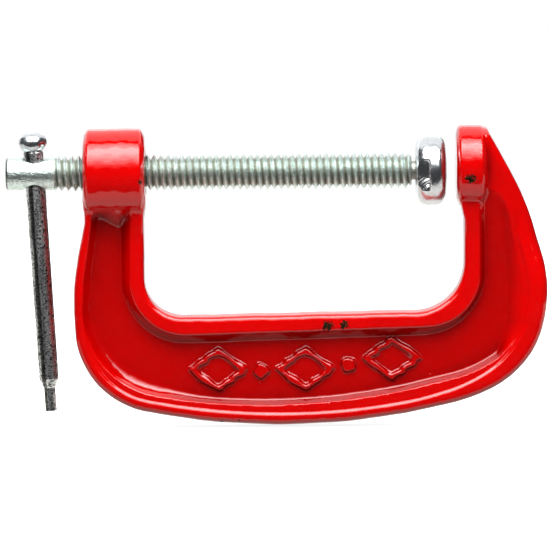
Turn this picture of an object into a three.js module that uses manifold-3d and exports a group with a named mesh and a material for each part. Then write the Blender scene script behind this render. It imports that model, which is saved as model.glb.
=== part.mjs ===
// A C clamp with a 63 mm opening, in millimetres.
// The screw runs along +X from its handle to the anvil, the throat opens towards +Z, and the
// clamp is symmetrical front to back in Y. The origin is on the screw's axis, at the anvil's face.
import * as THREE from "three";
import { mergeVertices } from "three/addons/utils/BufferGeometryUtils.js";
import Module from "manifold-3d";

const wasm = await Module();
wasm.setup();

// Screw thread: right-handed, so a turn about +X moves the screw towards the anvil.
const PITCH = 1.56;
const CREST_R = 4.05;
const ROOT_R = 3.05;
const CREST_X = -10.6; // where a crest meets the top of the screw
const THREAD_START_X = -90.85;
const THREAD_END_X = -10.0;
const THREAD_CHAMFER = 0.9;
const THREAD_CLEARANCE = 0.25; // between the screw and the boss's thread, all round
const THREAD_SIDES = 12;
const TOP_TURN = 0.25; // turns from +Y, where a helix starts, round to the top of the screw
// One pitch of the thread: how far along it each line runs, and whether that line is a crest.
const THREAD_PROFILE = [
  { at: 0, crest: false },
  { at: 0.42, crest: true },
  { at: 0.58, crest: true },
];
const CREST_AT = 0.5;

// Spindle head, and the ball that turns in the swivel pad.
const HEAD_END_X = -102.0;
const HEAD_R = 3.68;
const HEAD_CHAMFER = 0.4;
const CROSS_HOLE_X = -95.5;
const CROSS_HOLE_R = 2.65;
const BALL_X = -6.6;
const BALL_R = 2.8;
const NECK_R = 2.1;
const LAP = 1; // how far one solid runs into the next, or a cut runs out past a face

// Swivel pad.
const PAD_BACK_X = -9.16;
const PAD_FACE_X = -2.05;
const PAD_R = 7.95;
// The pad's side and face between its back and its flat middle: x, and how far inside PAD_R.
const PAD_SIDE = [
  [PAD_BACK_X, 3.9],
  [PAD_BACK_X + 0.3, 2.2],
  [PAD_BACK_X + 1, 0.9],
  [PAD_BACK_X + 2, 0.2],
  [PAD_BACK_X + 3, 0],
  [PAD_FACE_X - 2.4, 0],
  [PAD_FACE_X - 1.3, 0.4],
  [PAD_FACE_X - 0.6, 1.3],
  [PAD_FACE_X, 2.75],
];
const SOCKET_R = BALL_R + 0.3;
const MOUTH_R = NECK_R + 0.35; // smaller than the ball, so the crimped lip holds it
const CRIMP_COUNT = 3;
const CRIMP_WIDTH = 7.1;
const CRIMP_DEPTH = 1.1;
const CRIMP_EDGE_X = -5.9;
const CRIMP_TOOL_THICK = 2;
const CRIMP_FIRST_DEG = 185; // the first crimp, measured about +X from +Y

// Tommy bar and its ball end. It hangs a little off square in its loose hole.
const BAR_R = 2.24;
const BAR_LEAN_DEG = 3.26;
const BAR_TOP = 4.7; // lengths along the bar are measured up from the screw's axis
const BAR_SHOULDER = -46.8;
const BAR_CONE_END = -48.9;
const SPIGOT_R = 1.3;
const SPIGOT_END = -54.25;
const SPIGOT_TOP = 8.0;
const KNOB_MIDDLE = 7.06;
const KNOB_R = 3.27;
const KNOB_HALF_HEIGHT = 2.6; // of the whole ellipse, before its top and bottom are cut flat
const KNOB_BOTTOM = 5.05;
const KNOB_TOP = 9.2;
const KNOB_BORE_R = SPIGOT_R + 0.3;
const KNOB_BORE_TOP = SPIGOT_TOP + 0.3;

// Frame casting: a flanged C, with a round boss for the screw and a round anvil.
const RIM_HALF = 5.5;
const WEB_HALF = 2.2;
const POCKET_SLOPE = 2.3; // how far the pocket's wall leans in between rim and web
// The rim's rounded, drafted edge: the outline's inset at each distance from the mid plane.
const RIM_EDGE = [
  { y: 0, inset: 0 },
  { y: 3.0, inset: 0.25 },
  { y: 4.6, inset: 0.7 },
  { y: RIM_HALF, inset: 1.7 },
];
const BOSS_R = 10.1;
const BOSS_START_X = -84.5;
const BOSS_END_X = -70.35;
const BOSS_CHAMFER = 1.0;
const ANVIL_R = 9.3;
const ANVIL_LIFT = 0.9; // the anvil's middle is this far above the screw
const ANVIL_THICK = 7.0;
const ANVIL_CHAMFER = 1.1;
const ROUND_SIDES = 32;
const SMALL_SIDES = 20; // for the small round parts, and twice the ball's rings

// Corners of the casting's outline seen from the front, anticlockwise: x, z and corner radius.
const OUTLINE = [
  [-84.5, 5, 0],
  [-84.5, -11, 3],
  [-87.5, -26, 60],
  [-86, -51.5, 20],
  [-37.5, -61, 160],
  [4, -52, 38],
  [17.5, -44.5, 22],
  [22, -27, 30],
  [16, -6.5, 54],
  [7.5, 9.5, 0],
  [0.5, 9.5, 0],
  [0.5, -6.5, 0],
  [1.5, -11, 4],
  [1.5, -31.5, 11],
  [-70.5, -32.5, 8.5],
  [-70.5, 5, 0],
];

// Corners of the pocket at rim level, front and back, anticlockwise.
const POCKET = [
  [-81.5, -11, 2.5],
  [-84.5, -24.5, 50],
  [-85.5, -48, 20],
  [-36, -55.5, 155],
  [5, -45.5, 28],
  [15.5, -37.5, 7],
  [19, -19, 38],
  [11, -3, 2.5],
  [5, -4.5, 1.5],
  [5, -34.5, 14],
  [-73.5, -36.5, 12],
  [-73.5, -10.5, 2.5],
];

const ARC_STEP_DEG = 14;
const ARC_STEP_MM = 6;

// The outline through the corners, rounded at each one and drawn in by inset all round.
function roundedOutline(corners, inset = 0) {
  const count = corners.length;
  const points = corners.map(([x, z]) => new THREE.Vector2(x, z));
  const legs = points.map((from, i) => {
    const along = points[(i + 1) % count].clone().sub(from).normalize();
    const inward = new THREE.Vector2(-along.y, along.x);
    return { along, start: from.clone().addScaledVector(inward, inset) };
  });
  const outline = [];
  for (let i = 0; i < count; i++) {
    const before = legs[(i + count - 1) % count];
    const after = legs[i];
    const turn = Math.atan2(before.along.cross(after.along), before.along.dot(after.along));
    const gap = after.start.clone().sub(before.start);
    const reach = gap.cross(after.along) / before.along.cross(after.along);
    const corner = before.start.clone().addScaledVector(before.along, reach);
    const radius = corners[i][2];
    if (!radius) {
      outline.push(corner);
      continue;
    }
    const arcRadius = Math.max(radius - Math.sign(turn) * inset, 0.2);
    const side = new THREE.Vector2(-before.along.y, before.along.x).multiplyScalar(Math.sign(turn));
    const tangent = arcRadius * Math.tan(Math.abs(turn) / 2);
    const centre = corner
      .clone()
      .addScaledVector(before.along, -tangent)
      .addScaledVector(side, arcRadius);
    const spread = Math.abs(turn);
    const bySize = (radius * spread) / ARC_STEP_MM;
    const byTurn = THREE.MathUtils.radToDeg(spread) / ARC_STEP_DEG;
    const steps = Math.max(1, Math.ceil(Math.max(bySize, byTurn)));
    for (let k = 0; k <= steps; k++) {
      const spoke = side.clone().multiplyScalar(-arcRadius);
      spoke.rotateAround(new THREE.Vector2(), (turn * k) / steps);
      outline.push(centre.clone().add(spoke));
    }
  }
  return outline;
}

// A solid from outlines of equal length stacked along +Y, each { outline, y }, lowest y first.
function stackedSolid(layers) {
  const count = layers[0].outline.length;
  const positions = layers.flatMap(({ outline, y }) => outline.flatMap((p) => [p.x, y, p.y]));
  const index = [];
  for (let layer = 0; layer + 1 < layers.length; layer++) {
    for (let i = 0; i < count; i++) {
      const a = layer * count + i;
      const b = layer * count + ((i + 1) % count);
      index.push(a, a + count, b + count, a, b + count, b);
    }
  }
  const last = (layers.length - 1) * count;
  for (const [a, b, c] of THREE.ShapeUtils.triangulateShape(layers[0].outline, [])) {
    index.push(a, b, c);
  }
  for (const [a, b, c] of THREE.ShapeUtils.triangulateShape(layers.at(-1).outline, [])) {
    index.push(last + a, last + c, last + b);
  }
  return indexedGeometry(positions, index);
}

function indexedGeometry(positions, index) {
  const geometry = new THREE.BufferGeometry();
  geometry.setAttribute("position", new THREE.Float32BufferAttribute(positions, 3));
  geometry.setIndex(index);
  return geometry;
}

// A turned solid about the X axis, from [x, radius] points that start and end on the axis.
function turnedX(profile, sides) {
  const points = profile.map(([x, radius]) => new THREE.Vector2(radius, x));
  return new THREE.LatheGeometry(points, sides).rotateZ(-Math.PI / 2);
}

// A turned solid about the Z axis, from [z, radius] points that start and end on the axis.
function turnedZ(profile, sides) {
  const points = profile.map(([z, radius]) => new THREE.Vector2(radius, z));
  return new THREE.LatheGeometry(points, sides).rotateX(Math.PI / 2);
}

// A cylinder about the X axis between two stations, with both its rims chamfered.
function chamferedDisc(startX, endX, radius, chamfer, sides) {
  return turnedX(
    [
      [startX, 0],
      [startX, radius - chamfer],
      [startX + chamfer, radius],
      [endX - chamfer, radius],
      [endX, radius - chamfer],
      [endX, 0],
    ],
    sides,
  );
}

// A plain rod about the X axis.
function rodX(startX, endX, radius) {
  const rod = new THREE.CylinderGeometry(radius, radius, endX - startX, SMALL_SIDES);
  return rod.rotateZ(Math.PI / 2).translate((startX + endX) / 2, 0, 0);
}

// A ball on the X axis, with its poles on that axis.
function ballX(middleX, radius) {
  const ball = new THREE.SphereGeometry(radius, SMALL_SIDES, SMALL_SIDES / 2);
  return ball.rotateZ(Math.PI / 2).translate(middleX, 0, 0);
}

// A threaded rod that covers at least startX to endX, its surface moved out by clearance.
// Its lines follow the helix, so each turn of a line ends one pitch along from its start.
function threadedRod(startX, endX, clearance) {
  const lines = THREAD_PROFILE.length;
  const firstTurn = Math.floor((startX - CREST_X) / PITCH) - 1;
  const lastTurn = Math.ceil((endX - CREST_X) / PITCH) + 1;
  const rows = (lastTurn - firstTurn) * lines;
  const positions = [];
  for (let side = 0; side < THREAD_SIDES; side++) {
    const turn = side / THREAD_SIDES;
    const angle = 2 * Math.PI * turn;
    for (let row = 0; row <= rows + lines; row++) {
      const { at, crest } = THREAD_PROFILE[row % lines];
      const pitches = firstTurn + Math.floor(row / lines) + at - CREST_AT + turn - TOP_TURN;
      const radius = (crest ? CREST_R : ROOT_R) + clearance;
      const x = CREST_X + PITCH * pitches;
      positions.push(x, radius * Math.cos(angle), radius * Math.sin(angle));
    }
  }
  const perSide = rows + lines + 1;
  // Past the last side the rod joins its first side again, one pitch further along.
  const vertex = (side, row) =>
    side < THREAD_SIDES ? side * perSide + row : row + lines;
  const index = [];
  for (let side = 0; side < THREAD_SIDES; side++) {
    for (let row = 0; row < rows; row++) {
      const a = vertex(side, row);
      const b = vertex(side, row + 1);
      const c = vertex(side + 1, row + 1);
      const d = vertex(side + 1, row);
      index.push(a, c, b, a, d, c);
    }
  }
  const endLoop = (row) => [
    ...Array.from({ length: THREAD_SIDES + 1 }, (_, side) => vertex(side, row)),
    ...Array.from({ length: lines - 1 }, (_, k) => vertex(0, row + lines - 1 - k)),
  ];
  const tips = [CREST_X + PITCH * (firstTurn - 2), CREST_X + PITCH * (lastTurn + 2)];
  const firstTip = positions.length / 3;
  positions.push(tips[0], 0, 0, tips[1], 0, 0);
  endLoop(0).forEach((v, i, loop) => index.push(firstTip, loop[(i + 1) % loop.length], v));
  endLoop(rows).forEach((v, i, loop) => index.push(firstTip + 1, v, loop[(i + 1) % loop.length]));
  return indexedGeometry(positions, index);
}

// The same surface as a solid that can be joined and cut.
function solidOf(geometry) {
  const bare = geometry.clone();
  bare.deleteAttribute("normal");
  bare.deleteAttribute("uv");
  const merged = mergeVertices(bare, 1e-4);
  return new wasm.Manifold(
    new wasm.Mesh({
      numProp: 3,
      vertProperties: merged.attributes.position.array,
      triVerts: new Uint32Array(merged.index.array),
    }),
  );
}

function geometryOf(solid) {
  const mesh = solid.getMesh();
  const geometry = indexedGeometry(Array.from(mesh.vertProperties), Array.from(mesh.triVerts));
  const faceted = geometry.toNonIndexed();
  faceted.computeVertexNormals();
  return faceted;
}

function part(name, solid, material) {
  const mesh = new THREE.Mesh(geometryOf(solid), material);
  mesh.name = name;
  return mesh;
}

const red = new THREE.MeshStandardMaterial({ color: 0xc80808, roughness: 0.25, metalness: 0 });
const zinc = new THREE.MeshStandardMaterial({ color: 0xc9cec9, roughness: 0.3, metalness: 1 });
const chrome = new THREE.MeshStandardMaterial({ color: 0xdcdedd, roughness: 0.12, metalness: 1 });

function makeFrame() {
  const edge = RIM_EDGE.map(({ y, inset }) => ({ y, outline: roundedOutline(OUTLINE, inset) }));
  const mirrored = edge.slice(1).map(({ y, outline }) => ({ y: -y, outline }));
  let solid = solidOf(stackedSolid([...mirrored.reverse(), ...edge]));

  const mouth = roundedOutline(POCKET);
  const floor = roundedOutline(POCKET, POCKET_SLOPE);
  const outside = RIM_HALF + LAP;
  const back = solidOf(
    stackedSolid([
      { y: WEB_HALF, outline: floor },
      { y: RIM_HALF, outline: mouth },
      { y: outside, outline: mouth },
    ]),
  );
  const front = solidOf(
    stackedSolid([
      { y: -outside, outline: mouth },
      { y: -RIM_HALF, outline: mouth },
      { y: -WEB_HALF, outline: floor },
    ]),
  );
  solid = solid.subtract(front).subtract(back);

  const boss = chamferedDisc(BOSS_START_X, BOSS_END_X, BOSS_R, BOSS_CHAMFER, ROUND_SIDES);
  const anvil = chamferedDisc(0, ANVIL_THICK, ANVIL_R, ANVIL_CHAMFER, ROUND_SIDES);
  anvil.translate(0, 0, ANVIL_LIFT);
  solid = solid.add(solidOf(boss)).add(solidOf(anvil));

  const tap = threadedRod(BOSS_START_X - LAP, BOSS_END_X + LAP, THREAD_CLEARANCE);
  solid = solid.subtract(solidOf(tap));
  return part("frame", solid, red);
}

function makeSpindle() {
  const rod = solidOf(threadedRod(THREAD_START_X, THREAD_END_X, 0));
  const blank = turnedX(
    [
      [THREAD_START_X, 0],
      [THREAD_START_X, CREST_R + LAP],
      [THREAD_END_X - THREAD_CHAMFER, CREST_R],
      [THREAD_END_X, CREST_R - THREAD_CHAMFER],
      [THREAD_END_X, 0],
    ],
    ROUND_SIDES,
  );
  const headEndX = THREAD_START_X + HEAD_CHAMFER;
  const head = chamferedDisc(HEAD_END_X, headEndX, HEAD_R, HEAD_CHAMFER, ROUND_SIDES);
  const neck = rodX(THREAD_END_X - LAP, BALL_X, NECK_R);
  const ball = ballX(BALL_X, BALL_R);
  const holeLength = 2 * (HEAD_R + LAP);
  const crossHole = new THREE.CylinderGeometry(CROSS_HOLE_R, CROSS_HOLE_R, holeLength, SMALL_SIDES);
  crossHole.rotateX(Math.PI / 2).translate(CROSS_HOLE_X, 0, 0);

  const solid = rod
    .intersect(solidOf(blank))
    .add(solidOf(head))
    .add(solidOf(neck))
    .add(solidOf(ball))
    .subtract(solidOf(crossHole));
  return part("spindle", solid, zinc);
}

function makeSwivelPad() {
  const side = PAD_SIDE.map(([x, inset]) => [x, PAD_R - inset]);
  const outer = turnedX([[PAD_BACK_X, 0], ...side, [PAD_FACE_X, 0]], ROUND_SIDES);
  const socket = ballX(BALL_X, SOCKET_R);
  const mouth = rodX(PAD_BACK_X - LAP, BALL_X, MOUTH_R);

  let solid = solidOf(outer).subtract(solidOf(socket)).subtract(solidOf(mouth));
  const crimpLength = 2 * (CRIMP_EDGE_X - PAD_BACK_X);
  for (let i = 0; i < CRIMP_COUNT; i++) {
    const crimp = new THREE.BoxGeometry(crimpLength, CRIMP_WIDTH, CRIMP_TOOL_THICK);
    crimp.translate(PAD_BACK_X, 0, PAD_R - CRIMP_DEPTH + CRIMP_TOOL_THICK / 2);
    crimp.rotateX(THREE.MathUtils.degToRad(CRIMP_FIRST_DEG - 90 + (360 / CRIMP_COUNT) * i));
    solid = solid.subtract(solidOf(crimp));
  }
  return part("swivel_pad", solid, chrome);
}

function makeTommyBar() {
  const bar = turnedZ(
    [
      [SPIGOT_END, 0],
      [SPIGOT_END, SPIGOT_R],
      [BAR_CONE_END, SPIGOT_R],
      [BAR_SHOULDER, BAR_R],
      [BAR_TOP, BAR_R],
      [BAR_TOP, SPIGOT_R],
      [SPIGOT_TOP, SPIGOT_R],
      [SPIGOT_TOP, 0],
    ],
    SMALL_SIDES,
  );
  return part("tommy_bar", solidOf(bar), zinc);
}

// The ball end's side is part of an ellipse, flat at its top and bottom.
function makeBarBallEnd() {
  const steps = 8;
  const side = Array.from({ length: steps + 1 }, (_, i) => {
    const z = KNOB_BOTTOM + ((KNOB_TOP - KNOB_BOTTOM) * i) / steps;
    return [z, KNOB_R * Math.sqrt(1 - ((z - KNOB_MIDDLE) / KNOB_HALF_HEIGHT) ** 2)];
  });
  const ball = turnedZ([[KNOB_BOTTOM, 0], ...side, [KNOB_TOP, 0]], SMALL_SIDES);
  const boreLength = KNOB_BORE_TOP - KNOB_BOTTOM + LAP;
  const bore = new THREE.CylinderGeometry(KNOB_BORE_R, KNOB_BORE_R, boreLength, SMALL_SIDES);
  bore.rotateX(Math.PI / 2).translate(0, 0, KNOB_BORE_TOP - boreLength / 2);
  return part("bar_ball_end", solidOf(ball).subtract(solidOf(bore)), chrome);
}

const handle = new THREE.Group();
handle.add(makeTommyBar(), makeBarBallEnd());
handle.position.set(CROSS_HOLE_X, 0, 0);
handle.rotation.y = -THREE.MathUtils.degToRad(BAR_LEAN_DEG);

const clamp = new THREE.Group();
clamp.add(makeFrame(), makeSpindle(), makeSwivelPad(), handle);

export default clamp;
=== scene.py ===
"""A red cast C clamp with a zinc-plated screw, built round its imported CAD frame.

Shapes are worked out in millimetres and become metres when they turn into meshes. X runs
along the screw from its handle to the anvil, Z is up, and the front faces -Y.
"""
import math

import bmesh
import bpy
import numpy as np
from mathutils import Euler, Matrix, Vector


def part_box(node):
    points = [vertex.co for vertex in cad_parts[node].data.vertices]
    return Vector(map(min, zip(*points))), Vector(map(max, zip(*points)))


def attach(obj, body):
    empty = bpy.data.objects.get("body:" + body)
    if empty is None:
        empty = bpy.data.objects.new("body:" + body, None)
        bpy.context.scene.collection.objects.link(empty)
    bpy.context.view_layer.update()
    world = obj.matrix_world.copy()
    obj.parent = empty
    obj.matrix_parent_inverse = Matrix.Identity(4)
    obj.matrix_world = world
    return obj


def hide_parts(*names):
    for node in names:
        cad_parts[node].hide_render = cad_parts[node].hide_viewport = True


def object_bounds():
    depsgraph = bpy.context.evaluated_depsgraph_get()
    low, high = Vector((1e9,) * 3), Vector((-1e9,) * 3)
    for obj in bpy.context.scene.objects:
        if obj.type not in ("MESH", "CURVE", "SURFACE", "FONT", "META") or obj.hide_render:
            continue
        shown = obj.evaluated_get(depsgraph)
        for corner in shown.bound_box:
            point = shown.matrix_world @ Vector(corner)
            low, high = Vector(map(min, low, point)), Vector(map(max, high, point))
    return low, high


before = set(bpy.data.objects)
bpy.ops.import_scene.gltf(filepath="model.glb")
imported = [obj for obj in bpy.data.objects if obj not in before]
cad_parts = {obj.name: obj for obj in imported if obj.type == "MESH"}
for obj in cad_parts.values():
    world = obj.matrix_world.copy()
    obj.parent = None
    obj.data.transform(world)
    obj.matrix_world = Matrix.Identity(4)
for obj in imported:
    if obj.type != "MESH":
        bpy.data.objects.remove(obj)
cad_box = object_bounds()

MM = 0.001


def node_box(name):
    """Lowest and highest corner of a CAD node, in millimetres."""
    low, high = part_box(name)
    return np.array(low) / MM, np.array(high) / MM


frame_low, frame_high = node_box("frame")
spindle_low, spindle_high = node_box("spindle")
pad_low, pad_high = node_box("swivel_pad")

# Frame casting. Outlines are seen from the front: x, z and corner radius, anticlockwise.
OUTER = [
    (-84.5, 5, 1),
    (-84.5, -11, 3),
    (-87.5, -26, 60),
    (-86, -51.5, 20),
    (-37.5, -61, 160),
    (4, -52, 38),
    (17.5, -44.5, 22),
    (22, -27, 30),
    (16, -6.5, 54),
    (7.1, 10.1, 0.6),
    (0.5, 10.1, 0.2),
]
THROAT = [
    (-70.5, 30, 1),
    (-70.5, -32.5, 8.5),
    (1.5, -31.5, 11),
    (1.5, -11, 4),
    (0.5, -6.5, 1),
    (0.5, 30, 0.2),
]
# The pocket lies between these two, below its top on the anvil's limb.
POCKET_THROAT_SIDE = [
    (-73.5, 30, 1),
    (-73.5, -36.5, 12),
    (5, -34.5, 11.5),
    (5, 30, 1),
]
POCKET_OUTSIDE = [
    (-77, 30, 1),
    (-84.5, -24.5, 50),
    (-85.5, -48, 20),
    (-36, -55.5, 155),
    (5, -45.5, 28),
    (15.5, -37.5, 7),
    (19, -19, 38),
    (-5.5, 30, 1),
]
POCKET_TOP_Z = -3.8
RIM_HALF = 5.5
BEAD_WIDTH = 2.95  # of the low bead round the outside of the C
BEAD_WIDER = 1.9  # round the lower right
BEAD_NARROWER = 1.5  # up by the boss and the anvil
BEAD_FLANK_OUT = 0.75  # the bead's inner flank starts this much short of its width
BEAD_FLANK_IN = 0.35  # and ends this much past it
LAND_DROP = 0.55  # the flat of the rim lies this far below the bead round its outside
WEB_HALF = 2.2
# How widely the rim's face blends into its outside and into the throat's wall, and how much
# less it does so by the boss and the anvil.
OUTER_BLEND = 2.3
OUTER_BLEND_LESS = 0.9
THROAT_BLEND = 1.5
THROAT_BLEND_LESS = 0.7
OUTER_DRAFT = 0.05
THROAT_DRAFT = 0.06
# The pocket's wall on the throat's side slopes evenly over this width, less on the anvil's limb.
THROAT_WALL_RUN = 2.6
LIMB_THROAT_WALL_RUN = 1.5
# Its other walls are hollow: over each of these widths, about two thirds of what is left falls.
FOOT_WALL_FALL = 0.37
LIMB_WALL_FALL = 1.0  # on the boss's limb
SOFT_WALL_FALL = 6.0  # on the anvil's limb
TOP_FALL = 7.0
GUSSET_TIP_Z = -12.4  # the pocket's sloping top under the boss meets the web here
GUSSET_SLOPE = 0.9
BOSS_R = frame_high[1]
BOSS_START_X = -84.5
BOSS_END_X = -70.35
BOSS_EDGE = 1.0
BORE_R = 4.3
BORE_CHAMFER = 0.6
BORE_END_X = -40  # anywhere in the throat, clear of the boss
ANVIL_R = 9.3
ANVIL_LIFT = 0.9
ANVIL_THICK = 7.0
ANVIL_EDGE = 0.95
BUTTRESS_SLOPE = 0.24  # how quickly the plate thins to the right of the anvil
PLATE_STEP = 0.3  # the plate is this much lower than the anvil's edge
SURFACE_INSET = 0.09  # the surface lies this far inside, so that its unevenness stays in the box

# Screw.
PITCH = 1.56
CREST_R = spindle_high[1]
ROOT_R = CREST_R - 1.0
CREST_X = -10.6  # where a crest meets the top of the screw
THREAD_START_X = -90.85
THREAD_END_X = -10.0
THREAD_CHAMFER = 0.9
HALF_CREST = 0.06  # half the width of a crest's flat
HALF_FLATS = 0.18  # that, and half the width of a root's flat
HEAD_END_X = spindle_low[0]
HEAD_R = 3.68
HEAD_EDGE = 0.42
HEAD_LAP = 0.3  # how far the head runs into the thread
CROSS_HOLE_X = -95.5
CROSS_HOLE_R = 2.65
NECK_R = 2.1
BALL_R = 2.8
BALL_X = spindle_high[0] - BALL_R

# Swivel pad.
PAD_BACK_X = pad_low[0]
PAD_FACE_X = pad_high[0]
PAD_R = pad_high[1]
CRIMP_EDGE_X = -5.9
CRIMP_FIRST = math.radians(185)
CRIMP_COUNT = 3
CRIMP_FLOOR = 6.7  # from the pad's axis, at the crimp's edge
CRIMP_HALF_WIDTH = 3.5
RIPPLE_DEPTH = 0.13
RIPPLES = 4.6  # radians of ripple a millimetre
SOCKET_GAP = 0.3
MOUTH_GAP = 0.35

# Tommy bar and ball end, measured up its own axis from the screw's axis.
BAR_LEAN = math.radians(3.26)
BAR_R = 2.24
BAR_TOP = 4.7
BAR_SHOULDER = -46.8
BAR_CONE_END = -48.9
SPIGOT_R = 1.3
SPIGOT_END = -54.25
KNOB_MIDDLE = 7.06
KNOB_R = 3.27
KNOB_HALF_HEIGHT = 2.6
KNOB_BOTTOM = 5.05
KNOB_TOP = 9.2


# ---- Outlines and distances ----


def rounded_chain(corners):
    """The legs and corner arcs of a closed, anticlockwise outline with rounded corners."""
    points = np.array([c[:2] for c in corners], float)
    ways = np.roll(points, -1, 0) - points
    ways /= np.linalg.norm(ways, axis=1)[:, None]
    arcs, cuts = [], []
    for i, (_, _, radius) in enumerate(corners):
        before, after = ways[i - 1], ways[i]
        turn = math.atan2(before[0] * after[1] - before[1] * after[0], before @ after)
        side = math.copysign(1, turn)
        tangent = radius * math.tan(abs(turn) / 2)
        start = points[i] - before * tangent
        centre = start + side * radius * np.array([-before[1], before[0]])
        middle = points[i] - centre
        arcs.append((centre, radius, middle / np.linalg.norm(middle), abs(turn) / 2, side))
        cuts.append(tangent)
    legs = []
    for i, way in enumerate(ways):
        after = (i + 1) % len(corners)
        start = points[i] + way * cuts[i]
        legs.append((start, way, np.linalg.norm(points[after] - points[i]) - cuts[i] - cuts[after]))
    return legs, arcs


def outline_distance(chain, x, z):
    """Signed distance to an outline in its plane, negative inside."""
    legs, arcs = chain
    shape = np.broadcast(x, z).shape
    best = np.full(shape, np.inf)
    signed = np.zeros(shape)
    for (start_x, start_z), (way_x, way_z), length in legs:
        across_x, across_z = x - start_x, z - start_z
        along = np.clip(across_x * way_x + across_z * way_z, 0, length)
        gap = np.hypot(across_x - along * way_x, across_z - along * way_z)
        nearer = gap < best
        outside = across_x * way_z - across_z * way_x > 0
        best = np.where(nearer, gap, best)
        signed = np.where(nearer, np.where(outside, gap, -gap), signed)
    for (centre_x, centre_z), radius, (middle_x, middle_z), half, side in arcs:
        across_x, across_z = x - centre_x, z - centre_z
        reach = np.hypot(across_x, across_z)
        gap = reach - radius
        in_sector = across_x * middle_x + across_z * middle_z >= reach * math.cos(half)
        nearer = in_sector & (np.abs(gap) < best)
        best = np.where(nearer, np.abs(gap), best)
        signed = np.where(nearer, gap * side, signed)
    return signed


def smooth_max(a, b, radius):
    share = np.clip(0.5 + 0.5 * (a - b) / radius, 0, 1)
    return b + (a - b) * share + radius * share * (1 - share)


def smooth_min(a, b, radius):
    return -smooth_max(-a, -b, radius)


def soft_ramp(value, softness):
    """Zero below zero and the value itself above, with a soft knee."""
    return softness * np.logaddexp(0, value / softness)


def smooth_step(value, start, end):
    share = np.clip((value - start) / (end - start), 0, 1)
    return share * share * (3 - 2 * share)


def disc_distance(along, reach, start, end, radius, edge, depth=1.7):
    """Distance to a disc with chamfered rims, from the place along its axis and from the axis.

    The chamfer is as wide as edge, and depth times as deep, and its corners are a little soft.
    """
    middle, half = (start + end) / 2, (end - start) / 2
    side = reach - radius
    face = np.abs(along - middle) - half
    chamfer = (side + depth * (face + edge)) / math.hypot(1, depth)
    return smooth_max(smooth_max(side, face, 0.3 * edge), chamfer, 0.45 * edge)


# ---- Meshes ----


def surface_net(field, low, high, step):
    """Quads over the surface where field is zero, negative inside, with each point on it."""
    x, y, z = (np.arange(a, b + step, step) for a, b in zip(low, high))
    value = field(x[:, None, None], y[None, :, None], z[None, None, :])
    value = np.ascontiguousarray(np.broadcast_to(value, (len(x), len(y), len(z))))
    inside = value < 0
    cells = tuple(n - 1 for n in value.shape)
    steps = [(i, j, k) for i in (0, 1) for j in (0, 1) for k in (0, 1)]
    corners_in = sum(
        inside[i : i + cells[0], j : j + cells[1], k : k + cells[2]].astype(np.int8)
        for i, j, k in steps
    )
    active = (corners_in > 0) & (corners_in < 8)
    cell = np.argwhere(active)
    number = np.full(cells, -1)
    number[active] = np.arange(len(cell))

    total = np.zeros((len(cell), 3))
    hits = np.zeros(len(cell))
    for a in steps:
        for axis in range(3):
            if a[axis]:
                continue
            b = tuple(1 if k == axis else a[k] for k in range(3))
            value_a = value[tuple((cell + a).T)]
            value_b = value[tuple((cell + b).T)]
            crosses = (value_a < 0) != (value_b < 0)
            share = np.where(crosses, value_a / np.where(crosses, value_a - value_b, 1), 0)
            place = cell + a + share[:, None] * (np.array(b) - a)
            total += np.where(crosses[:, None], place, 0)
            hits += crosses
    points = np.array(low) + step * total / hits[:, None]

    quads = []
    for axis in range(3):
        near = [slice(1, -1)] * 3
        far = [slice(1, -1)] * 3
        near[axis], far[axis] = slice(0, -1), slice(1, None)
        starts_in, ends_in = inside[tuple(near)], inside[tuple(far)]
        for flip in (False, True):
            hit = np.argwhere((starts_in != ends_in) & (starts_in != flip))
            hit[:, [k for k in range(3) if k != axis]] += 1
            side_b, side_c = np.zeros(3, int), np.zeros(3, int)
            side_b[(axis + 1) % 3] = 1
            side_c[(axis + 2) % 3] = 1
            ring = [hit - side_b - side_c, hit - side_c, hit, hit - side_b]
            corners = np.stack([number[tuple(c.T)] for c in ring], 1)
            quads.append(corners[:, ::-1] if flip else corners)
    points, slopes = settle(field, points, step)
    return points, np.concatenate(quads), slopes


def slope_of(field, points, reach=0.03):
    """The field's gradient at each point."""
    slopes = np.empty_like(points)
    for axis in range(3):
        offset = np.zeros(3)
        offset[axis] = reach
        ahead, behind = (points + offset).T, (points - offset).T
        slopes[:, axis] = (field(*ahead) - field(*behind)) / (2 * reach)
    return slopes


def settle(field, points, step, rounds=3):
    """Moves points along the field's slope on to its surface, each by less than a step."""
    for _ in range(rounds):
        slopes = slope_of(field, points)
        steepness = np.maximum((slopes**2).sum(1), 1e-6)
        move = -(field(*points.T) / steepness)[:, None] * slopes
        length = np.maximum(np.linalg.norm(move, axis=1), 1e-9)
        points = points + move * np.minimum(1, 0.4 * step / length)[:, None]
    slopes = slope_of(field, points)
    return points, slopes / np.maximum(np.linalg.norm(slopes, axis=1), 1e-9)[:, None]


def refined(field, points, quads, slopes, step, count):
    """Splits the quads where the surface bends most in four, and settles every point again."""
    bend = np.ones(len(quads))
    for corner in range(4):
        for other in range(corner):
            likeness = (slopes[quads[:, corner]] * slopes[quads[:, other]]).sum(1)
            bend = np.minimum(bend, likeness)
    mesh = bpy.data.meshes.new("refined")
    mesh.from_pydata(points.tolist(), [], quads.tolist())
    work = bmesh.new()
    work.from_mesh(mesh)
    work.faces.ensure_lookup_table()
    chosen = [work.faces[i] for i in np.argsort(bend, kind="stable")[:count]]
    edges = list(dict.fromkeys(e for face in chosen for e in face.edges))
    bmesh.ops.subdivide_edges(work, edges=edges, cuts=1, use_grid_fill=True)
    points, faces = as_lists(work)
    bpy.data.meshes.remove(mesh)
    points, slopes = settle(field, points, step)
    return points, faces, slopes


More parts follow.
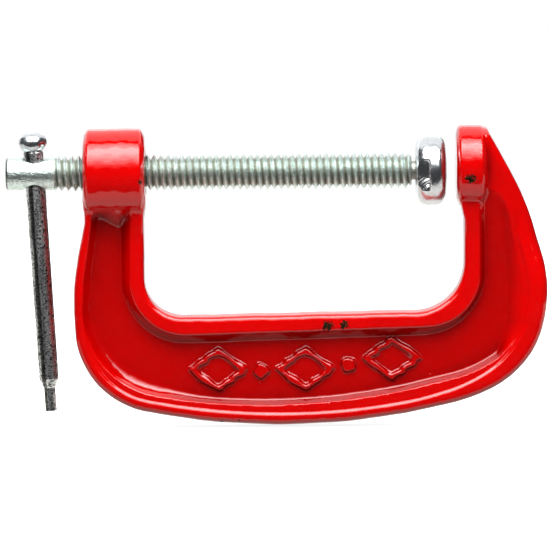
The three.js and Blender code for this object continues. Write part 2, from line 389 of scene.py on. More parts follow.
def as_lists(work):
    """The points and faces of a bmesh, which is then freed."""
    work.verts.index_update()
    points = np.array([v.co for v in work.verts], float)
    faces = [[v.index for v in f.verts] for f in work.faces]
    work.free()
    return points, faces


def rounded_profile(corners, arc_step=12):
    """A profile of (along, radius) points through corners of (along, radius, fillet)."""
    points = [np.array(c[:2], float) for c in corners]
    profile = [points[0]]
    for i in range(1, len(corners) - 1):
        before = points[i] - points[i - 1]
        after = points[i + 1] - points[i]
        before, after = before / np.linalg.norm(before), after / np.linalg.norm(after)
        turn = math.atan2(before[0] * after[1] - before[1] * after[0], before @ after)
        fillet = corners[i][2]
        if not fillet:
            profile.append(points[i])
            continue
        start = points[i] - before * fillet * math.tan(abs(turn) / 2)
        side = math.copysign(1, turn)
        centre = start + side * fillet * np.array([-before[1], before[0]])
        count = max(2, math.ceil(math.degrees(abs(turn)) / arc_step))
        for k in range(count + 1):
            angle = turn * k / count
            spoke = start - centre
            profile.append(
                centre
                + [
                    spoke[0] * math.cos(angle) - spoke[1] * math.sin(angle),
                    spoke[0] * math.sin(angle) + spoke[1] * math.cos(angle),
                ]
            )
    profile.append(points[-1])
    return np.array(profile)


def turned(profile, sides):
    """A closed solid turned about X, from a profile whose first and last points are poles."""
    ring = np.arange(sides) * 2 * math.pi / sides
    inner = profile[1:-1]
    points = [(profile[0][0], 0, 0)]
    for along, radius in inner:
        points += [(along, radius * math.cos(a), radius * math.sin(a)) for a in ring]
    points.append((profile[-1][0], 0, 0))
    faces = []
    last = len(points) - 1
    for side in range(sides):
        after = (side + 1) % sides
        faces.append((0, 1 + after, 1 + side))
        for row in range(len(inner) - 1):
            a, b = 1 + row * sides, 1 + (row + 1) * sides
            faces.append((a + side, a + after, b + after, b + side))
        end = 1 + (len(inner) - 1) * sides
        faces.append((last, end + side, end + after))
    return np.array(points, float), faces


def add_piece(name, points, faces, look, body, node, normals=None, sharp=30):
    """Makes a mesh in millimetres into a visible piece that rides a body and stands for a node."""
    mesh = bpy.data.meshes.new(name)
    mesh.from_pydata((np.asarray(points) * MM).tolist(), [], [list(map(int, f)) for f in faces])
    mesh.validate()
    mesh.polygons.foreach_set("use_smooth", [True] * len(mesh.polygons))
    if normals is None:
        mesh.set_sharp_from_angle(angle=math.radians(sharp))
    else:
        mesh.normals_split_custom_set_from_vertices(normals.tolist())
    mesh.materials.append(look)
    piece = bpy.data.objects.new(name, mesh)
    bpy.context.scene.collection.objects.link(piece)
    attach(piece, body)
    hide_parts(node)
    return piece


# ---- Materials ----


class Look:
    """A procedural material on a Principled shader, with its patterns in object space."""

    def __init__(self, name, **fixed):
        self.material = bpy.data.materials.new(name)
        self.material.use_nodes = True
        self.tree = self.material.node_tree
        self.shader = self.tree.nodes["Principled BSDF"]
        for socket, value in fixed.items():
            self.shader.inputs[socket.replace("_", " ")].default_value = value
        coordinates = self.tree.nodes.new("ShaderNodeTexCoord").outputs
        self.place, self.facing = coordinates["Object"], coordinates["Normal"]

    def feed(self, node, inputs):
        for key, value in inputs.items():
            socket = node.inputs[key]
            if isinstance(value, bpy.types.NodeSocket):
                self.tree.links.new(value, socket)
            else:
                socket.default_value = value
        return node

    def make(self, kind, settings=None, **inputs):
        node = self.tree.nodes.new(kind)
        for key, value in (settings or {}).items():
            setattr(node, key, value)
        return self.feed(node, {k.replace("_", " "): v for k, v in inputs.items()})

    def math(self, operation, a, b=0.0, c=0.0):
        node = self.make("ShaderNodeMath", {"operation": operation})
        self.feed(node, {0: a, 1: b, 2: c})
        return node.outputs[0]

    def stretch(self, scale):
        return self.make("ShaderNodeMapping", Vector=self.place, Scale=scale).outputs[0]

    def noise(self, size, detail=2.0, roughness=0.5, place=None):
        """Noise with features about this many millimetres across, from 0 to 1."""
        node = self.make(
            "ShaderNodeTexNoise",
            Vector=place or self.place,
            Scale=1 / (size * MM),
            Detail=detail,
            Roughness=roughness,
        )
        return node.outputs["Fac"]

    def spots(self, size):
        """Distance to the nearest of scattered points about this many millimetres apart."""
        node = self.make("ShaderNodeTexVoronoi", Vector=self.place, Scale=1 / (size * MM))
        return node.outputs["Distance"]

    def between(self, value, start, end, low=0.0, high=1.0):
        node = self.make("ShaderNodeMapRange", {"interpolation_type": "SMOOTHSTEP"})
        self.feed(node, {0: value, 1: start, 2: end, 3: low, 4: high})
        return node.outputs[0]

    def mix(self, share, first, second):
        node = self.make("ShaderNodeMix", {"data_type": "RGBA"})
        for key, value in (("Factor_Float", share), ("A_Color", first), ("B_Color", second)):
            socket = next(s for s in node.inputs if s.identifier == key)
            if isinstance(value, bpy.types.NodeSocket):
                self.tree.links.new(value, socket)
            else:
                socket.default_value = (*value, 1) if isinstance(value, tuple) else value
        return next(s for s in node.outputs if s.identifier == "Result_Color")

    def bump(self, height, depth, base=None):
        """Bumps up to this many millimetres high where height is 1."""
        inputs = {"Height": height, "Distance": depth * MM, "Strength": 1.0}
        if base is not None:
            inputs["Normal"] = base
        return self.make("ShaderNodeBump", **inputs).outputs[0]

    def set(self, **inputs):
        self.feed(self.shader, {k.replace("_", " "): v for k, v in inputs.items()})
        return self.material


# Paint chips, where bare iron shows: x, y, z and radius.
CHIPS = [
    (-29.3, -5.2, -34.9, 1.05),
    (-25.6, -5.2, -34.7, 0.95),
    (3.3, -9.2, -1.6, 1.0),
    (-71.4, -9.4, -1.4, 0.5),
    (-70.9, -9.0, -6.2, 0.7),
    (14.2, -4.6, -50.2, 1.5),
    (-53.6, -4.2, -56.6, 0.5),
]
POCKET_SHADE_TOP = 4.6  # painted shade: the paint is made darker below this height over the plate's middle, deep in the pocket
CORNER_REACH = 8  # how far from a corner the painted shade reaches
UNDERSIDE_Z = -11  # the boss and the anvil are above this; the painted shade on faces that look down lies below it


def enamel_look():
    """Thick dipped enamel: glossy, a little uneven, with pimples, and chipped to the iron."""
    look = Look("red_enamel", IOR=1.5)
    split = look.make("ShaderNodeSeparateXYZ", Vector=look.place)
    off_middle = look.math("ABSOLUTE", split.outputs["Y"])
    # Painted shade: the deeper parts of the pocket are made a darker red.
    painted_pocket_shade = look.between(off_middle, WEB_HALF * MM, POCKET_SHADE_TOP * MM, 1, 0)
    sway = look.noise(7, 2)
    fine = look.noise(1.1, 3, 0.55)
    red = look.mix(sway, (0.375, 0.0, 0.0), (0.45, 0.0, 0.0))
    red = look.mix(look.between(fine, 0.55, 0.8, 0, 0.25), red, (0.27, 0.0, 0.0))
    red = look.mix(look.math("MULTIPLY", painted_pocket_shade, 0.55), red, (0.24, 0.0, 0.0))

    # Painted shade: the paint is made darker in corners and on the underside of the C than the light
    # makes it.
    nook = look.make(
        "ShaderNodeAmbientOcclusion", {"samples": 8, "only_local": True}, Distance=CORNER_REACH * MM
    )
    corner_shade = look.between(nook.outputs["AO"], 0.6, 0.98, 0.9, 0)
    red = look.mix(corner_shade, red, (0.10, 0.0, 0.0))
    # Painted shade on faces that look down, below the boss and the anvil.
    facing = look.make("ShaderNodeSeparateXYZ", Vector=look.facing)
    under = look.between(facing.outputs["Z"], -0.85, -0.15, 0.6, 0)
    below = look.between(split.outputs["Z"], (UNDERSIDE_Z - 3) * MM, UNDERSIDE_Z * MM, 1, 0)
    red = look.mix(look.math("MULTIPLY", under, below), red, (0.12, 0.0, 0.0))

    edge = look.noise(0.55, 4, 0.75)
    chipped = None
    for x, y, z, radius in CHIPS:
        middle = (x * MM, y * MM, z * MM)
        apart = look.make("ShaderNodeVectorMath", {"operation": "DISTANCE"})
        look.feed(apart, {0: look.place, 1: middle})
        gap = look.math("DIVIDE", apart.outputs["Value"], radius * MM)
        gap = look.math("ADD", gap, look.math("MULTIPLY_ADD", edge, 5.0, -2.5))
        mask = look.between(gap, 0.95, 1.1, 1, 0)
        chipped = mask if chipped is None else look.math("MAXIMUM", chipped, mask)
    specks = look.between(look.spots(6), 0.035, 0.05, 1, 0)
    rare = look.between(look.noise(9, 1), 0.6, 0.62)
    chipped = look.math("MAXIMUM", chipped, look.math("MULTIPLY", specks, rare))
    rust = look.between(look.noise(0.3, 3), 0.5, 0.75)
    iron = look.mix(rust, (0.004, 0.003, 0.001), (0.07, 0.05, 0.02))

    pimples = look.between(look.spots(3.1), 0.02, 0.09, 1, 0)
    pimples = look.math("MULTIPLY", pimples, look.between(look.noise(5, 1), 0.5, 0.6))
    swell = look.bump(look.noise(3.2, 2), 0.05)
    peel = look.bump(look.noise(0.55, 2), 0.016, swell)
    dotted = look.bump(pimples, 0.05, peel)
    surface = look.bump(look.math("MULTIPLY", chipped, -1.0), 0.12, dotted)
    gloss = look.between(look.noise(1.6, 3), 0.3, 0.75, 0.05, 0.11)
    rough = look.math("MAXIMUM", gloss, look.math("MULTIPLY", chipped, 0.55))
    shine = look.math("MULTIPLY_ADD", chipped, -0.48, 0.5)
    return look.set(
        Base_Color=look.mix(chipped, red, iron),
        Roughness=rough,
        Specular_IOR_Level=shine,
        Normal=surface,
    )


def screw_look():
    """Bright zinc plate, mottled, darker and duller down in the thread's roots."""
    look = Look("screw_zinc", Metallic=1.0)
    split = look.make("ShaderNodeSeparateXYZ", Vector=look.place)
    y, z = split.outputs["Y"], split.outputs["Z"]
    squares = look.math("ADD", look.math("POWER", y, 2.0), look.math("POWER", z, 2.0))
    reach = look.math("SQRT", squares)
    deep = look.between(reach, ROOT_R * MM, (ROOT_R + 0.75) * MM, 1, 0)
    past_head = look.between(split.outputs["X"], (THREAD_START_X - 0.4) * MM, THREAD_START_X * MM)
    deep = look.math("MULTIPLY", deep, past_head)
    mottle = look.noise(0.8, 4, 0.65)
    zinc = look.mix(look.between(mottle, 0.35, 0.7), (0.72, 0.82, 0.79), (0.50, 0.58, 0.55))
    zinc = look.mix(look.math("MULTIPLY", deep, 0.7), zinc, (0.27, 0.25, 0.20))
    # Painted reflection: a dark ring on the chamfer at the head's end, standing in for the dark room
    # mirrored there.
    ring_start, ring_end = (HEAD_END_X + 0.3) * MM, (HEAD_END_X + 0.55) * MM
    dark_ring_reflection = look.between(split.outputs["X"], ring_start, ring_end, 0.85, 0)
    on_rim = look.between(reach, (HEAD_R - 0.6) * MM, (HEAD_R - 0.35) * MM)
    zinc = look.mix(look.math("MULTIPLY", dark_ring_reflection, on_rim), zinc, (0.05, 0.05, 0.05))
    turning = look.noise(1, 2, place=look.stretch((9, 0.8, 0.8)))
    rough = look.between(mottle, 0.3, 0.8, 0.27, 0.42)
    rough = look.math("ADD", rough, look.math("MULTIPLY", deep, 0.15))
    grain = look.bump(look.noise(0.36, 1, 0.5), 0.14)
    surface = look.bump(turning, 0.012, look.bump(look.noise(0.9, 3), 0.03, grain))
    return look.set(Base_Color=zinc, Roughness=rough, Normal=surface)


def bar_look():
    """Drawn steel rod with thin zinc: darker, with marks running along it."""
    look = Look("bar_zinc", Metallic=1.0)
    streaks = look.noise(1.1, 4, 0.6, place=look.stretch((1, 1, 0.10)))
    blotch = look.noise(0.55, 4, 0.7)
    steel = look.mix(look.between(streaks, 0.4, 0.6), (0.84, 0.84, 0.84), (0.42, 0.43, 0.43))
    steel = look.mix(look.between(blotch, 0.50, 0.57, 0, 0.97), steel, (0.03, 0.03, 0.03))
    # Painted reflection: a dark line, standing in for the dark room mirrored in the bar, runs down
    # the bar about a millimetre to the left of its middle, and wavers.
    split = look.make("ShaderNodeSeparateXYZ", Vector=look.place)
    start = -CROSS_HOLE_X * math.cos(BAR_LEAN) * MM
    across = look.math("MULTIPLY_ADD", split.outputs["Z"], math.sin(BAR_LEAN), start)
    across = look.math("MULTIPLY_ADD", split.outputs["X"], math.cos(BAR_LEAN), across)
    sway = look.math("MULTIPLY_ADD", streaks, 1.2 * MM, 0.5 * MM)
    off_dark_reflection = look.math("ABSOLUTE", look.math("ADD", across, sway))
    steel = look.mix(look.between(off_dark_reflection, 0.3 * MM, 0.6 * MM, 0.85, 0), steel, (0.02, 0.02, 0.02))
    rough = look.between(blotch, 0.3, 0.6, 0.2, 0.36)
    surface = look.bump(streaks, 0.05, look.bump(blotch, 0.10))
    return look.set(Base_Color=steel, Roughness=rough, Normal=surface)


def chrome_look():
    """Bright plate over a pressed part, so it ripples, with faint smears and pits."""
    look = Look("bright_plate", Metallic=1.0)
    smear = look.noise(2.2, 4, 0.6)
    plate = look.mix(look.between(smear, 0.4, 0.75), (0.64, 0.66, 0.68), (0.53, 0.56, 0.59))
    rough = look.between(smear, 0.35, 0.8, 0.2, 0.33)
    pits = look.between(look.spots(1.1), 0.03, 0.12, 1, 0)
    ripple = look.bump(look.noise(2.4, 2), 0.09)
    surface = look.bump(pits, -0.015, look.bump(look.noise(0.6, 2), 0.008, ripple))
    return look.set(Base_Color=plate, Roughness=rough, Normal=surface)


ENAMEL = enamel_look()
SCREW_ZINC = screw_look()
BAR_ZINC = bar_look()
BRIGHT = chrome_look()


# ---- Frame casting ----

outer_chain = rounded_chain(OUTER)
throat_chain = rounded_chain(THROAT)
pocket_throat_chain = rounded_chain(POCKET_THROAT_SIDE)
pocket_outside_chain = rounded_chain(POCKET_OUTSIDE)

# Raised marks on the floor of the pocket: three lozenge rings with a stud between each.
MARK_HEIGHT = 0.75
MARK_STROKE = 0.65
LOZENGES = [(-54.3, -44.9), (-34.5, -44.9), (-14.7, -42.6)]
LOZENGE_HALF_X = 6.3
LOZENGE_HALF_Z = 4.5
STUDS = [(-44.4, -45.2), (-24.6, -44.0)]
STUD_R = 1.7


def mark_height(x, z):
    """How far the raised marks stand above the web at a place."""
    x = x + 0.16 * np.sin(2.3 * z + 0.7 * x)
    z = z + 0.16 * np.sin(1.9 * x + 1.1 * z)
    gap = np.full(np.broadcast(x, z).shape, np.inf)
    scale = math.hypot(LOZENGE_HALF_X, LOZENGE_HALF_Z)
    for middle_x, middle_z in LOZENGES:
        across = np.sqrt((x - middle_x) ** 2 + 0.3) / LOZENGE_HALF_X
        up = np.sqrt((z - middle_z) ** 2 + 0.3) / LOZENGE_HALF_Z
        ring = np.abs(across + up - 1) * LOZENGE_HALF_X * LOZENGE_HALF_Z / scale
        gap = np.minimum(gap, ring - MARK_STROKE)
    for middle_x, middle_z in STUDS:
        gap = np.minimum(gap, np.hypot(x - middle_x, z - middle_z) - STUD_R)
    return MARK_HEIGHT * smooth_step(-gap, -0.35, 0.45)


def unevenness(x, y, z):
    """The slow waviness of a sand casting under thick paint."""
    return (
        0.050 * np.sin(0.41 * x + 1.3 * np.sin(0.23 * z)) * np.sin(0.37 * z + 0.9)
        + 0.016 * np.sin(0.93 * x + 1.4 * np.sin(0.31 * z + 0.6 * y)) * np.sin(0.83 * z)
        + 0.012 * np.sin(1.7 * x + 0.4) * np.sin(1.9 * z + 0.3 * y)
    )


def wall_share(gap, fall):
    """How much of the pocket's depth is reached this far from a wall's top, and what is left."""
    left = np.exp(-soft_ramp(gap, 0.1) / fall)
    return 1 - left, left


def pocket_hollow(x, z):
    """How far the pocket's surface lies from the middle of the plate, and how steep it is."""
    depth = RIM_HALF - WEB_HALF
    foot_left = smooth_step(-x, 55, 74)
    soft = smooth_step(x, 9, 16)
    outside_fall = FOOT_WALL_FALL + (LIMB_WALL_FALL - FOOT_WALL_FALL) * foot_left
    outside_fall = outside_fall + (SOFT_WALL_FALL - outside_fall) * soft
    from_throat = outline_distance(pocket_throat_chain, x, z)
    from_outside = -outline_distance(pocket_outside_chain, x, z)
    run = THROAT_WALL_RUN + (LIMB_THROAT_WALL_RUN - THROAT_WALL_RUN) * smooth_step(x, -10, 5)
    throat_left = 1 - soft_ramp(from_throat, 0.1) / run
    # The rim outside the pocket is level, so the steepness starts at each wall's top.
    throat_steepness = smooth_step(throat_left, -0.1, 0.1) * smooth_step(from_throat, -0.3, 0.1) / run
    outside_steepness = smooth_step(from_outside, -0.3, 0.1) / outside_fall
    throat_share = 1 - smooth_max(throat_left, 0, 0.15)
    outside_share, outside_left = wall_share(from_outside, outside_fall)
    top_share, _ = wall_share(POCKET_TOP_Z - z, TOP_FALL)
    top_share = 1 + (top_share - 1) * smooth_step(x, -5, 3)
    steepness = depth * top_share * np.maximum(throat_steepness, outside_left * outside_steepness)
    return RIM_HALF - depth * throat_share * outside_share * top_share, steepness


def casting(x, y, z):
    """The frame's surface: a rimmed C-shaped plate with a boss and an anvil, bored through."""
    depth = np.abs(y)
    outer = outline_distance(outer_chain, x, z)
    throat = outline_distance(throat_chain, x, z)

    # Round the outside of the C runs a low bead with a round edge. Its width varies.
    lower_right = smooth_step(x, -12, 18) * smooth_step(-z, 5, 18)
    upper = smooth_step(z, -16, -8)
    bead = BEAD_WIDTH + BEAD_WIDER * lower_right - BEAD_NARROWER * upper
    bead_top = smooth_step(outer, -bead - BEAD_FLANK_IN, -bead + BEAD_FLANK_OUT)
    thinning = smooth_step(z, -30, -3)
    buttress = BUTTRESS_SLOPE * soft_ramp(x - ANVIL_THICK, 0.4) * thinning
    top = depth - RIM_HALF + LAND_DROP * (1 - bead_top) * (1 - upper) + buttress
    plate = smooth_max(outer + OUTER_DRAFT * depth, top, OUTER_BLEND - OUTER_BLEND_LESS * upper)
    # The throat's edge is squarer, with a little draft on its wall.
    wall = -throat + THROAT_DRAFT * depth
    plate = smooth_max(plate, wall, THROAT_BLEND - THROAT_BLEND_LESS * upper)
    # By the anvil the plate stays inside the anvil's round edge.
    over_plate = np.hypot(y, np.maximum(z - ANVIL_LIFT, 0)) - ANVIL_R + PLATE_STEP
    plate = smooth_max(plate, over_plate, 0.4)

    hollow, steepness = pocket_hollow(x, z)
    tip_z = GUSSET_TIP_Z + 0.5 * np.abs(x + 76.6)
    under_boss = smooth_step(-x, 66, 70)
    gusset = WEB_HALF + GUSSET_SLOPE * soft_ramp(z - tip_z, 0.3) * under_boss
    hollow = smooth_max(hollow, gusset, 0.4) + mark_height(x, z)
    plate = smooth_max(plate, (depth - hollow) / np.hypot(1, steepness), 0.35)

    boss = disc_distance(x, np.hypot(y, z), BOSS_START_X, BOSS_END_X, BOSS_R, BOSS_EDGE)
    anvil_reach = np.hypot(y, z - ANVIL_LIFT)
    anvil = disc_distance(x, anvil_reach, 0, ANVIL_THICK, ANVIL_R, ANVIL_EDGE)
    solid = smooth_min(plate, boss, 1.0)
    solid = smooth_min(solid, anvil, 0.5)
    solid = solid + unevenness(x, y, z) + SURFACE_INSET
    bore = np.hypot(y, z) - BORE_R
    mouth = np.minimum(np.abs(x - BOSS_START_X), np.abs(x - BOSS_END_X))
    bore = bore - BORE_CHAMFER * smooth_step(-mouth, -0.8, 0)
    return np.where(x < BORE_END_X, np.maximum(solid, -bore), solid)


casting_step = 0.6
margin = 1.5
MOST_BENT = 12000  # how many quads of the casting are split
points, quads, slopes = surface_net(
    casting, frame_low - margin, frame_high + margin, casting_step
)
faces = quads
points, faces, slopes = refined(casting, points, quads, slopes, casting_step, MOST_BENT)
add_piece("casting", points, faces, ENAMEL, "frame", "frame", slopes)


# ---- Screw ----


def thread_radius(pitches):
    """The thread's radius, given the distance from a crest in pitches."""
    off = np.abs(pitches - np.round(pitches)) * PITCH
    flank = (CREST_R - ROOT_R) / (PITCH / 2 - HALF_FLATS)
    sharp = CREST_R - flank * np.maximum(off - HALF_CREST, 0)
    # The soft knee takes about 0.03 mm off the crest, which is put back.
    return -soft_ramp(CREST_R - sharp, 0.05) + CREST_R + 0.03


def thread_mesh(rows_per_pitch, sides):
    """The threaded rod, its rows wound along the helix and its ends cut square."""
    first = math.floor((THREAD_START_X - CREST_X) / PITCH) - 2
    last = math.ceil((THREAD_END_X - CREST_X) / PITCH) + 2
    rows = (last - first) * rows_per_pitch
    row = np.arange(rows + rows_per_pitch + 1) / rows_per_pitch + first
    side = np.arange(sides) / sides
    pitches = row[None, :] + side[:, None] - 0.25
    x = CREST_X + PITCH * pitches
    radius = thread_radius(row)[None, :] + 0 * x
    lead_out = CREST_R - THREAD_CHAMFER + (THREAD_END_X - x)
    lead_in = CREST_R + 1 - 1.1 * smooth_step(THREAD_START_X + 1.6 - x, 0, 1.6)
    radius = np.minimum(radius, np.minimum(lead_out, lead_in))
    radius = np.maximum(radius, 1.5)
    angle = 2 * math.pi * side[:, None]
    grid = np.stack([x, radius * np.cos(angle), radius * np.sin(angle)], -1)
    per_side = len(row)
    faces = []
    for s in range(sides):
        after = s + 1
        for r in range(rows):
            a, b = s * per_side + r, s * per_side + r + 1
            if after < sides:
                c, d = after * per_side + r + 1, after * per_side + r
            else:
                c, d = r + 1 + rows_per_pitch, r + rows_per_pitch
            faces.append((a, d, c, b))
    return grid.reshape(-1, 3), faces


def cut_ends(points, faces, start_x, end_x):
    """Cuts an open tube along X square at two places, and closes both ends."""
    mesh = bpy.data.meshes.new("cut")
    mesh.from_pydata(points.tolist(), [], faces)
    work = bmesh.new()
    work.from_mesh(mesh)
    for place, way in ((start_x, -1), (end_x, 1)):
        bmesh.ops.bisect_plane(
            work,
            geom=work.verts[:] + work.edges[:] + work.faces[:],
            plane_co=(place, 0, 0),
            plane_no=(way, 0, 0),
            clear_outer=True,
        )
        rim = [e for e in work.edges if e.is_boundary]
        rim = [e for e in rim if all(abs(v.co.x - place) < 1e-3 for v in e.verts)]
        bmesh.ops.edgeloop_fill(work, edges=rim)
    loose = [v for v in work.verts if not v.link_faces]
    bmesh.ops.delete(work, geom=loose, context="VERTS")
    bmesh.ops.recalc_face_normals(work, faces=work.faces[:])
    bpy.data.meshes.remove(mesh)
    return as_lists(work)


def head(x, y, z):
    """The screw's plain head, drilled across for the bar."""
    end_x = THREAD_START_X + HEAD_LAP
    solid = disc_distance(x, np.hypot(y, z), HEAD_END_X, end_x, HEAD_R, HEAD_EDGE, 1)
    hole = np.hypot(x - CROSS_HOLE_X, y) - CROSS_HOLE_R
    return smooth_max(solid, -hole, 0.25)


points, faces = thread_mesh(12, 96)
points, faces = cut_ends(points, faces, THREAD_START_X, THREAD_END_X)
add_piece("screw_thread", points, faces, SCREW_ZINC, "spindle", "spindle", sharp=50)

head_low = np.array([HEAD_END_X, -HEAD_R, -HEAD_R]) - 0.5
head_high = np.array([THREAD_START_X, HEAD_R, HEAD_R]) + 0.8
points, quads, slopes = surface_net(head, head_low, head_high, 0.16)
add_piece("screw_head", points, quads, SCREW_ZINC, "spindle", "spindle", slopes)

ball_start = math.acos(NECK_R / BALL_R)
ball_arc = [
    (BALL_X + BALL_R * -math.sin(a), BALL_R * math.cos(a))
    for a in np.linspace(ball_start, -math.pi / 2, 24)[:-1]
]
neck = [(THREAD_END_X - 0.5, 0), (THREAD_END_X - 0.5, NECK_R)]
profile = np.array([*neck, *ball_arc, (BALL_X + BALL_R, 0)])
points, faces = turned(profile, 48)
add_piece("screw_ball", points, faces, SCREW_ZINC, "spindle", "spindle")


# ---- Swivel pad ----

pad_chain = rounded_chain(
    [
        (PAD_BACK_X, -PAD_R, 0.1),
        (PAD_FACE_X, -PAD_R, 0.1),
        (PAD_FACE_X, 3.0, 12),
        (PAD_FACE_X - 0.5, PAD_R, 2.3),
        (PAD_BACK_X + 0.35, PAD_R, 2.7),
        (PAD_BACK_X, 3.0, 8),
    ]
)


def pad(x, y, z):
    """The pressed pad: a crowned face, crimps in its back and a mouth round the neck."""
    reach = np.hypot(y, z)
    solid = outline_distance(pad_chain, x, reach)
    for turn in range(CRIMP_COUNT):
        angle = CRIMP_FIRST + turn * 2 * math.pi / CRIMP_COUNT
        out = y * math.cos(angle) + z * math.sin(angle)
        across = -y * math.sin(angle) + z * math.cos(angle)
        floor = CRIMP_FLOOR - 0.16 * (CRIMP_EDGE_X - x) + 0.028 * across**2
        # Half of each floor is rippled, in arcs round a point by its corner.
        swirl = np.hypot(x - CRIMP_EDGE_X - 0.6, across - 4.2)
        swirl = RIPPLE_DEPTH * np.sin(RIPPLES * swirl) * smooth_step(across, -0.3, 1.4)
        tool = smooth_max(x - CRIMP_EDGE_X, np.abs(across) - CRIMP_HALF_WIDTH, 0.9)
        tool = smooth_max(tool, floor + swirl - out, 0.35)
        solid = smooth_max(solid, -tool, 0.35)
    socket = np.sqrt((x - BALL_X) ** 2 + y**2 + z**2) - BALL_R - SOCKET_GAP
    mouth = np.maximum(reach - NECK_R - MOUTH_GAP, x - BALL_X)
    return smooth_max(solid, -np.minimum(socket, mouth), 0.3)


pad_lift = np.array([0.5, 0.5, 0.5])
points, quads, slopes = surface_net(
    pad, pad_low - pad_lift, pad_high + pad_lift, 0.17
)
add_piece("pad", points, quads, BRIGHT, "swivel_pad", "swivel_pad", slopes)


# ---- Tommy bar and ball end ----


def on_bar(points):
    """Turns a shape made along X to stand along the bar, which leans a little."""
    lean = np.array(Matrix.Rotation(-BAR_LEAN, 3, "Y"))
    upright = np.stack([points[:, 1], points[:, 2], points[:, 0]], 1)
    return upright @ lean.T + [CROSS_HOLE_X, 0, 0]


profile = rounded_profile(
    [
        (SPIGOT_END, 0, 0),
        (SPIGOT_END, SPIGOT_R, 0.15),
        (BAR_CONE_END, SPIGOT_R, 0.2),
        (BAR_SHOULDER, BAR_R, 0.6),
        (BAR_TOP + 0.35, BAR_R, 0.3),
        (BAR_TOP + 0.35, 0, 0),
    ]
)
points, faces = turned(profile, 64)
add_piece("bar", on_bar(points), faces, BAR_ZINC, "tommy_bar", "tommy_bar")

knob = [
    (h, KNOB_R * math.sqrt(1 - ((h - KNOB_MIDDLE) / KNOB_HALF_HEIGHT) ** 2))
    for h in np.linspace(KNOB_BOTTOM, KNOB_TOP, 40)
]
profile = np.array([(KNOB_BOTTOM, 0), *knob, (KNOB_TOP, 0)])
points, faces = turned(profile, 64)
add_piece("ball_end", on_bar(points), faces, BRIGHT, "tommy_bar", "bar_ball_end")


# ---- Stage, light and camera ----

CAMERA_TILT = math.radians(5)  # the camera looks down by this much
CAMERA_ROLL = math.radians(0.52)  # the screw rises to the right by this much
CAMERA_BACK = 1.2
VIEW_WIDTH = 0.12507  # how much of the object's own plane the picture is wide
VIEW_MIDDLE = Vector((-0.04115, 0, -0.02357))
FLOOR_Z = cad_box[0].z - 0.0004


def plain_material(name, colour, strength):
    material = bpy.data.materials.new(name)
    material.use_nodes = True
    shader = material.node_tree.nodes["Principled BSDF"]
    shader.inputs["Base Color"].default_value = (*colour, 1)
    shader.inputs["Roughness"].default_value = 0.9
    shader.inputs["Emission Color"].default_value = (*colour, 1)
    shader.inputs["Emission Strength"].default_value = strength
    return material


def sheet(name, low, high, height, material):
    """A flat level rectangle, part of the stage."""
    corners = [(low[0], low[1]), (high[0], low[1]), (high[0], high[1]), (low[0], high[1])]
    mesh = bpy.data.meshes.new(name)
    mesh.from_pydata([(x, y, height) for x, y in corners], [], [(0, 1, 2, 3)])
    mesh.materials.append(material)
    piece = bpy.data.objects.new(name, mesh)
    bpy.context.scene.collection.objects.link(piece)
    return piece


pale = plain_material("floor", (0.86, 0.86, 0.86), 0.6)
pale.cycles.emission_sampling = "NONE"
floor = sheet("floor", (-1, -1), (1, 0.7), FLOOR_Z, pale)
floor.visible_glossy = False
floor.visible_diffuse = False

# A darker sheet, level with the floor, bounces light up at the clamp.
dim = plain_material("bounce", (0.8, 0.8, 0.8), 0.5)
bounce = sheet("bounce", (-1, -1), (1, 1), FLOOR_Z, dim)
bounce.visible_camera = False
bounce.visible_glossy = False
bounce.visible_shadow = False

# The floor that the clamp mirrors lies lower down and starts a little in front of it.
glow = plain_material("floor_glow", (0.80, 0.78, 0.73), 1.0)
glow.cycles.emission_sampling = "NONE"
mirror_floor = sheet("mirror_floor", (-1.5, -0.28), (1.5, 1.6), -0.3, glow)
mirror_floor.visible_camera = False
mirror_floor.visible_diffuse = False
mirror_floor.visible_shadow = False


def softbox(name, target, azimuth, elevation, distance, size, radiance):
    """A rectangular light that faces a point. Azimuth 0 is in front, 180 behind."""
    light = bpy.data.lights.new(name, "AREA")
    light.shape = "RECTANGLE"
    light.size, light.size_y = size
    light.energy = radiance * math.pi * size[0] * size[1]
    lamp = bpy.data.objects.new(name, light)
    a, e = math.radians(azimuth), math.radians(elevation)
    away = Vector((math.sin(a) * math.cos(e), -math.cos(a) * math.cos(e), math.sin(e)))
    lamp.location = target + away * distance
    lamp.rotation_euler = away.to_track_quat("Z", "Y").to_euler()
    lamp.visible_camera = False
    bpy.context.scene.collection.objects.link(lamp)
    return lamp


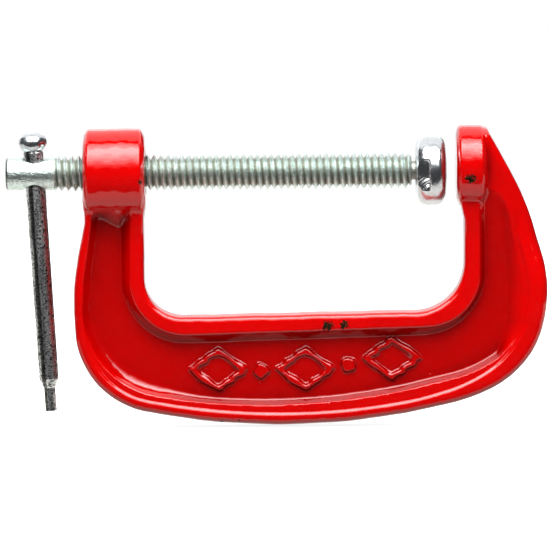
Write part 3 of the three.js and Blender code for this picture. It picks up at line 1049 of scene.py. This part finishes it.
# The front box is brightest two thirds of the way up, so it is strips one above another.
FRONT_STRIPS = [  # elevation of the lower edge in degrees, and radiance
    (20, 0.6),
    (28, 3.0),
    (37, 6.0),
    (45, 9.0),
    (53, 12.0),
    (61, 12.5),
    (71, 7.0),
    (79, 4.5),
]
FRONT_TOP = 86
for (low, radiance), high in zip(FRONT_STRIPS, [e for e, _ in FRONT_STRIPS[1:]] + [FRONT_TOP]):
    tall = 2 * math.tan(math.radians((high - low) / 2))
    softbox(f"front_{low}", VIEW_MIDDLE, 0, (low + high) / 2, 1.0, (1.5, tall), radiance)
softbox("overhead", VIEW_MIDDLE, 180, 52, 1.2, (2.4, 1.5), 1.2)
back_card = softbox("back_card", VIEW_MIDDLE + Vector((-0.9, 0, 0)), 180, 8, 1.3, (2.6, 1.0), 1.1)
back_card.visible_diffuse = False

world = bpy.data.worlds.new("studio")
bpy.context.scene.world = world
world.use_nodes = True
tree = world.node_tree
path = tree.nodes.new("ShaderNodeLightPath")
backdrop = tree.nodes["Background"]
backdrop.inputs["Color"].default_value = (1, 1, 1, 1)
backdrop.inputs["Strength"].default_value = 1.0
room = tree.nodes.new("ShaderNodeBackground")
room.inputs["Color"].default_value = (0.9, 0.95, 1, 1)
room.inputs["Strength"].default_value = 0.05
choose = tree.nodes.new("ShaderNodeMixShader")
tree.links.new(path.outputs["Is Camera Ray"], choose.inputs[0])
tree.links.new(room.outputs[0], choose.inputs[1])
tree.links.new(backdrop.outputs[0], choose.inputs[2])
tree.links.new(choose.outputs[0], tree.nodes["World Output"].inputs["Surface"])

camera = bpy.data.cameras.new("camera")
camera.sensor_width = 36
camera.lens = camera.sensor_width * CAMERA_BACK / VIEW_WIDTH
eye = bpy.data.objects.new("camera", camera)
bpy.context.scene.collection.objects.link(eye)
back = Vector((0, -math.cos(CAMERA_TILT), math.sin(CAMERA_TILT)))
eye.location = VIEW_MIDDLE + back * CAMERA_BACK
level = Euler((math.pi / 2 - CAMERA_TILT, 0, 0)).to_matrix()
eye.rotation_euler = (level @ Matrix.Rotation(-CAMERA_ROLL, 3, "Z")).to_euler()
bpy.context.scene.camera = eye
bpy.context.scene.view_settings.view_transform = "Standard"
